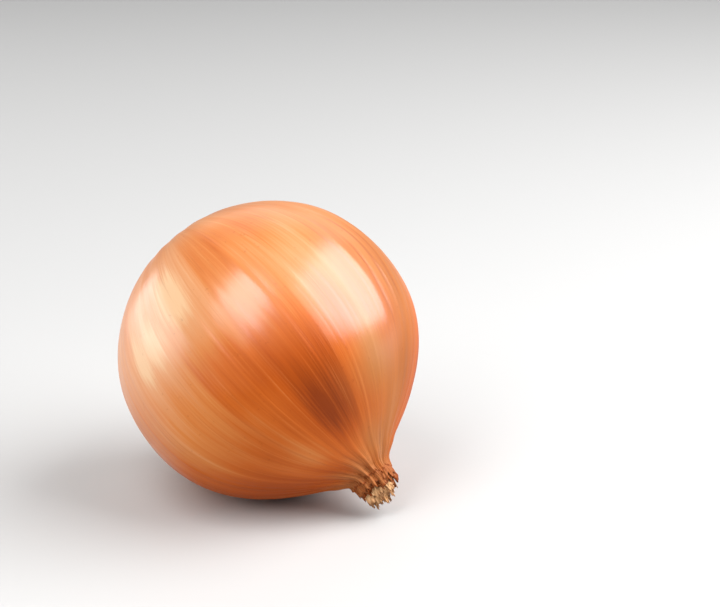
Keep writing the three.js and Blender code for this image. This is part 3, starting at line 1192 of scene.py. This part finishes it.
@dataclass
class TornSleeves:
    """Crumpled wraps of dry leaf, one inside the other, each with a torn upper edge."""

    form: BulbForm
    name: str
    sleeves: tuple[Sleeve, ...]
    seed: int
    thickness: float = 0.18
    rows: int = 30
    columns: int = 150
    spiral: float = 0.3
    oval: float = 0.09

    def build(self, maker: MeshMaker) -> bpy.types.Object:
        """Make every wrap as a curved grid.

        Across, a wrap runs round the neck by its span, on a slight spiral. Its upper edge wanders by slow
        and by ragged noise, and is longer on one side by the cosine of the angle. Its radius is oval,
        starts tucked in at the foot, leans out by the square of the height, and is crumpled by noise that
        grows from its foot to its edge.

        Args:
            maker: The mesh maker.

        Returns:
            The object that holds all the wraps.
        """
        random = np.random.default_rng(self.seed)
        across = np.linspace(-0.5, 0.5, self.columns)[None, :]
        up = np.linspace(0, 1, self.rows)[:, None]
        level = np.zeros_like(up)
        grids, edges, fibres = [], [], []
        for sleeve in self.sleeves:
            for index in range(sleeve.count):
                draw = random.uniform(-1, 1, 4)
                middle = sleeve.phase + (index + 0.25 * draw[0]) / sleeve.count * TAU
                angle = middle + across * sleeve.span * (1 + 0.2 * draw[1]) * (1 - 0.1 * up)
                seed = self.seed * 100 + len(grids) * 5
                torn = ripples(angle, level, seed, (2, 7), 0.0)
                torn = torn + 0.7 * ripples(angle, level, seed + 1, (9, 26), 0.0)
                frayed = np.abs(ripples(angle, level, seed + 2, (30, 80), 0.0))
                top = sleeve.top + sleeve.tear * (0.5 * torn - 0.4 * frayed) + 0.4 * draw[2]
                top = top + sleeve.skew * np.cos(angle - self.form.long_side)
                height = sleeve.foot + up * (top - sleeve.foot)
                slow = ripples(angle, height, seed + 3, (2, 9), 0.9)
                sharp = np.abs(ripples(angle, height, seed + 4, (8, 26), 1.6)) - 0.8
                crumple = sleeve.crumple * (0.6 * slow + 0.45 * sharp) * ramp(0, 0.6, up)
                oval = 1 + self.oval * np.cos(2 * angle + draw[3])
                radius = sleeve.radius * oval + self.spiral * across - (1 - ramp(0, 0.45, up))
                grids.append(self.form.place(radius + sleeve.lean * up**2 + crumple, angle, height))
                rim = np.maximum(ramp(0.84, 1.0, up), 0.7 * ramp(0.48, 0.5, np.abs(across)))
                edges.append(np.broadcast_to(rim * (0.7 + 0.3 * np.tanh(slow)), height.shape))
                lines = np.broadcast_arrays(np.cos(angle), np.sin(angle), up * 0.3 + len(grids))
                fibres.append(np.stack(lines, axis=-1))
        made = maker.sheets(self.name, np.stack(grids), self.thickness)
        maker.paint(made, "edge", np.stack(edges).reshape(-1))
        maker.paint(made, "fibre", np.stack(fibres).reshape(-1, 3))
        return made


@dataclass
class RootTuft:
    """The root plate, recessed in its dish, and the trimmed dry roots on it."""

    form: BulbForm
    roots: int = 170
    thickness: float = 0.34
    lengths: tuple[float, float] = (0.9, 2.0)
    gap: float = 0.6
    recess: float = 0.6
    sunk: float = 0.9
    bulge: float = 0.75
    knob_relief: float = 0.16
    plate_columns: int = 72
    sides: int = 6
    steps: int = 7

    def plate(self, maker: MeshMaker) -> bpy.types.Object:
        """Make the plate: a shallow disc with a rounded, knobbly face.

        The face stands out by a share of 1 - (radius / plate radius)^4, plus noise.

        Args:
            maker: The mesh maker.

        Returns:
            The object.
        """
        f = self.form
        reach = f.root_dish_radius - self.gap
        angle = np.linspace(0, TAU, self.plate_columns, endpoint=False)[None, :]
        face = np.linspace(0.05, 1, 22)[:, None]
        side = np.linspace(0, 1, 4)[1:, None]
        back = np.linspace(1, 0.05, 4)[1:, None]
        knobs = self.knob_relief * ripples(angle, 9 * face, Seed.KNOBS, (3, 16), 1.0) * (1 - face**6)
        foot = f.root_lip_height + self.recess + 0.5
        top = f.root_dish_height - 0.3
        low = foot - self.bulge * (1 - face**4) - knobs + 0 * angle
        rise = foot + side * (top - foot) + 0 * angle
        radius = np.concatenate([face, np.ones_like(side), back]) * reach
        height = np.concatenate([low, rise, top + 0 * back + 0 * angle])
        spread = np.broadcast_arrays(radius * np.cos(angle), height, radius * np.sin(angle))
        points = np.stack(spread, axis=-1)
        made = maker.closed_round("root_plate", points)
        shares = np.broadcast_to(radius / reach, height.shape).reshape(-1)
        maker.paint(made, "edge", np.concatenate([0.5 * shares**3, [0, 0]]))
        maker.paint(made, "fibre", np.concatenate([points.reshape(-1, 3) * 0.2, np.zeros((2, 3))]))
        return made

    def rootlets(self, maker: MeshMaker) -> bpy.types.Object:
        """Make the roots: slim tubes that taper, lean outwards and curl.

        They start on a sunflower spiral, the golden angle apart and at radii by the square root of the
        count. Down a root, its line moves sideways by lean * t + curl * t^2.

        Args:
            maker: The mesh maker.

        Returns:
            The object.
        """
        f = self.form
        random = np.random.default_rng(Seed.ROOTLETS)
        each = (self.roots, 1)
        index = np.arange(self.roots)[:, None]
        share = np.sqrt((index + 0.5) / self.roots)
        angle = index * GOLDEN_ANGLE
        reach = share * (f.root_dish_radius - self.gap - 0.5)
        length = random.uniform(*self.lengths, each) * (1.15 - 0.4 * share)
        lean = 0.15 + 0.7 * share + random.uniform(-0.2, 0.2, each)
        heading = angle + random.uniform(-0.8, 0.8, each)
        curl = random.uniform(-0.25, 0.35, each)
        t = np.linspace(0, 1, self.steps)
        down = (length + self.sunk) * t
        side = np.sin(lean) * down + curl * down**2 / 3
        x = reach * np.cos(angle) + side * np.cos(heading)
        z = reach * np.sin(angle) + side * np.sin(heading)
        y = f.root_lip_height + self.recess + self.sunk - down * np.cos(lean)
        thick = self.thickness * random.uniform(0.6, 1.15, each) * (1 - 0.45 * t)
        turn = np.linspace(0, TAU, self.sides, endpoint=False)
        ring_x = x[..., None] + thick[..., None] * np.cos(turn)
        ring_z = z[..., None] + thick[..., None] * np.sin(turn)
        rings = np.stack(np.broadcast_arrays(ring_x, y[..., None], ring_z), axis=-1)
        made = maker.tubes("rootlets", rings)
        maker.paint(made, "edge", 0.7 * np.broadcast_to((t**3)[..., None], ring_x.shape).reshape(-1))
        own = index[..., None] * 0.37
        lines = np.broadcast_arrays(np.cos(turn) + own, np.sin(turn), down[..., None] * 0.1)
        maker.paint(made, "fibre", np.stack(lines, axis=-1).reshape(-1, 3))
        return made


class Placement(Enum):
    """Which way each softbox stands from the onion: right, up and towards the camera."""

    LEFT = (-0.95, 0.185, -0.24)
    FRONT = (-0.36, 0.56, 0.75)
    RIGHT = (0.75, 0.575, 0.27)
    TOP = (0.05, 0.86, -0.5)


@dataclass(frozen=True)
class Softbox:
    """One soft light: its place, size in metres, distance in metres, strength, and roll in degrees."""

    placement: Placement
    width: float
    height: float
    distance: float
    watts: float
    roll: float = 0.0


@dataclass
class Studio:
    """The pale floor, the soft lights and the camera."""

    growth: GrowthFrame
    azimuth: float = math.radians(36.3)
    elevation: float = math.radians(20.0)
    camera_distance: float = 0.620
    focal_pixels: float = 2176.0
    onion_pixel: tuple[float, float] = (268.0, 349.0)
    sensor: float = 36.0
    room_light: float = 0.26
    floor_reach: float = 3.0
    floor_colour: Colour = (0.5, 0.498, 0.495, 1.0)
    floor_roughness: float = 0.6
    softboxes: tuple[Softbox, ...] = (
        Softbox(Placement.LEFT, 1.0, 0.26, 0.75, 4.0),
        Softbox(Placement.FRONT, 0.42, 0.72, 0.85, 6.2),
        Softbox(Placement.RIGHT, 0.9, 0.84, 0.80, 14.8, -15.0),
        Softbox(Placement.TOP, 0.90, 0.60, 0.90, 1.4),
    )

    def axes(self) -> tuple[Vector, Vector, Vector]:
        """The photo's directions in the row frame, from the camera's azimuth and elevation.

        Returns:
            Unit vectors to the right, up and towards the camera.
        """
        level, turn = math.cos(self.elevation), self.azimuth
        towards = Vector((math.sin(turn) * level, -math.cos(turn) * level, math.sin(self.elevation)))
        right = Vector((math.cos(turn), math.sin(turn), 0.0))
        return right, towards.cross(right), towards

    def _stand(
        self, data: bpy.types.ID, way: Vector, distance: float, look: Vector, roll: float
    ) -> bpy.types.Object:
        """Stand the camera or a light off the onion's middle.

        Args:
            data: The camera or light.
            way: Direction from the middle to it.
            distance: Distance from the middle, in metres.
            look: Direction that it faces.
            roll: Turn about that direction, in degrees.

        Returns:
            The object.
        """
        made = add_object(data.name, data)
        made.location = Vector(self.growth.centre) * MM + way * distance
        made.rotation_mode = "QUATERNION"
        made.rotation_quaternion = look.to_track_quat("-Z", "Y") @ Quaternion((0, 0, 1), math.radians(roll))
        return made

    def aim_camera(self) -> None:
        """Stand the camera so that the onion's middle falls on its pixel of the photo, by turning it."""
        right, up, towards = self.axes()
        across = (self.onion_pixel[0] - PHOTO_WIDTH / 2) / self.focal_pixels
        below = (self.onion_pixel[1] - PHOTO_HEIGHT / 2) / self.focal_pixels
        data = bpy.data.cameras.new("photo_camera")
        data.sensor_width = self.sensor
        data.lens = self.focal_pixels * self.sensor / PHOTO_WIDTH
        data.clip_start = 0.01
        look = -towards - right * across + up * below
        bpy.context.scene.camera = self._stand(data, towards, self.camera_distance, look, 0.0)

    def hang_softboxes(self) -> None:
        """Hang the softboxes, each facing the onion."""
        right, up, towards = self.axes()
        for box in self.softboxes:
            x, y, z = box.placement.value
            way = (right * x + up * y + towards * z).normalized()
            data = bpy.data.lights.new(f"softbox_{box.placement.name.lower()}", "AREA")
            data.shape = "RECTANGLE"
            data.size, data.size_y = box.width, box.height
            data.energy = box.watts
            self._stand(data, way, box.distance, -way, box.roll)

    def light_world(self) -> None:
        """Light the whole room evenly and softly."""
        world = bpy.data.worlds.new("studio")
        world.use_nodes = True
        background = world.node_tree.nodes["Background"]
        background.inputs["Color"].default_value = (1.0, 1.0, 1.0, 1.0)
        background.inputs["Strength"].default_value = self.room_light
        bpy.context.scene.world = world
        bpy.context.scene.view_settings.view_transform = "Standard"

    def lay_floor(self) -> None:
        """Lay a wide pale floor at the height of the flat spot."""
        far = self.floor_reach
        mesh = bpy.data.meshes.new("floor")
        corners = [(-far, -far, 0), (far, -far, 0), (far, far, 0), (-far, far, 0)]
        mesh.from_pydata(corners, [], [(0, 1, 2, 3)])
        material = bpy.data.materials.new("pale_floor")
        material.use_nodes = True
        shader = material.node_tree.nodes["Principled BSDF"]
        shader.inputs["Base Color"].default_value = self.floor_colour
        shader.inputs["Roughness"].default_value = self.floor_roughness
        mesh.materials.append(material)
        floor = add_object("floor", mesh)

    def build(self) -> None:
        """Set up the whole studio."""
        self.aim_camera()
        self.hang_softboxes()
        self.light_world()
        self.lay_floor()


@dataclass
class Onion:
    """The whole onion: its pieces, their finishes, and what each stands for."""

    form: BulbForm = field(default_factory=BulbForm)
    growth: GrowthFrame = field(default_factory=GrowthFrame)
    body: str = "root"

    def __post_init__(self) -> None:
        """Make the shared mesh maker and node groups."""
        self.maker = MeshMaker(self.growth)
        self.groups = Groups()

    def _settle(
        self, piece: bpy.types.Object, finish: Finish, stands_for: Optional[str] = None
    ) -> None:
        """Dress a piece, let it ride on the body, and hide the solid that it stands for.

        Args:
            piece: The piece.
            finish: Its finish.
            stands_for: The solid that it replaces, if any.
        """
        finish.dress(piece)
        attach(piece, self.body)
        if stands_for:
            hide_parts(stands_for)
        LOG.info("%s: %d faces", piece.name, len(piece.data.polygons))

    def build(self) -> None:
        """Build every piece in order, from the skin inwards."""
        f, maker = self.form, self.maker
        skin_finish = SkinFinish(self.groups)
        self._settle(BulbSkin(f).build(maker), skin_finish, "bulb")
        scraps = (
            Sleeve(2, f.neck_radius + 0.4, 45.0, 49.6, 3.0, 0.5, 0.1, 0.22, 0.9, 0.8),
            Sleeve(1, f.neck_radius - 0.9, 46.4, 50.9, 6.0, 1.3, 0.3, 0.35, 1.0, 1.0),
        )
        flakes = TornSleeves(f, "neck_flakes", scraps, seed=5, thickness=0.16).build(maker)
        brown = StrawPalette(srgb(188, 114, 58), srgb(152, 82, 32), srgb(96, 44, 14))
        self._settle(flakes, StrawFinish("torn_brown_skin", self.groups, brown, 0.55))
        wraps = (
            Sleeve(1, 3.9, 46.2, 53.0, 6.4, 0.3, 0.4, 0.45, 1.2, -0.2),
            Sleeve(1, 3.1, 46.2, 53.7, 6.6, 1.9, 0.4, 0.5, 1.3, -0.2),
            Sleeve(1, 2.2, 46.2, 54.1, 6.4, 3.4, 0.3, 0.45, 1.3, 0.0),
            Sleeve(2, 1.2, 46.2, 53.8, 4.2, 0.9, 0.2, 0.35, 1.4, 0.0),
        )
        sheaths = TornSleeves(f, "inner_sheaths", wraps, seed=23).build(maker)
        pale = StrawPalette(srgb(240, 208, 166), srgb(210, 160, 110), srgb(120, 70, 38))
        pale_finish = StrawFinish("pale_sheath", self.groups, pale, 0.8)
        self._settle(sheaths, pale_finish, "neck_sheaths")
        straw = StrawPalette(srgb(206, 178, 134), srgb(160, 124, 80), srgb(92, 62, 36))
        root_finish = StrawFinish("dry_root", self.groups, straw, 0.85)
        tuft = RootTuft(f)
        self._settle(tuft.plate(maker), root_finish, "root_tuft")
        self._settle(tuft.rootlets(maker), root_finish)


def main() -> None:
    """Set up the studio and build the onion."""
    onion = Onion()
    Studio(onion.growth).build()
    onion.build()


if __name__ == "__main__":
    main()
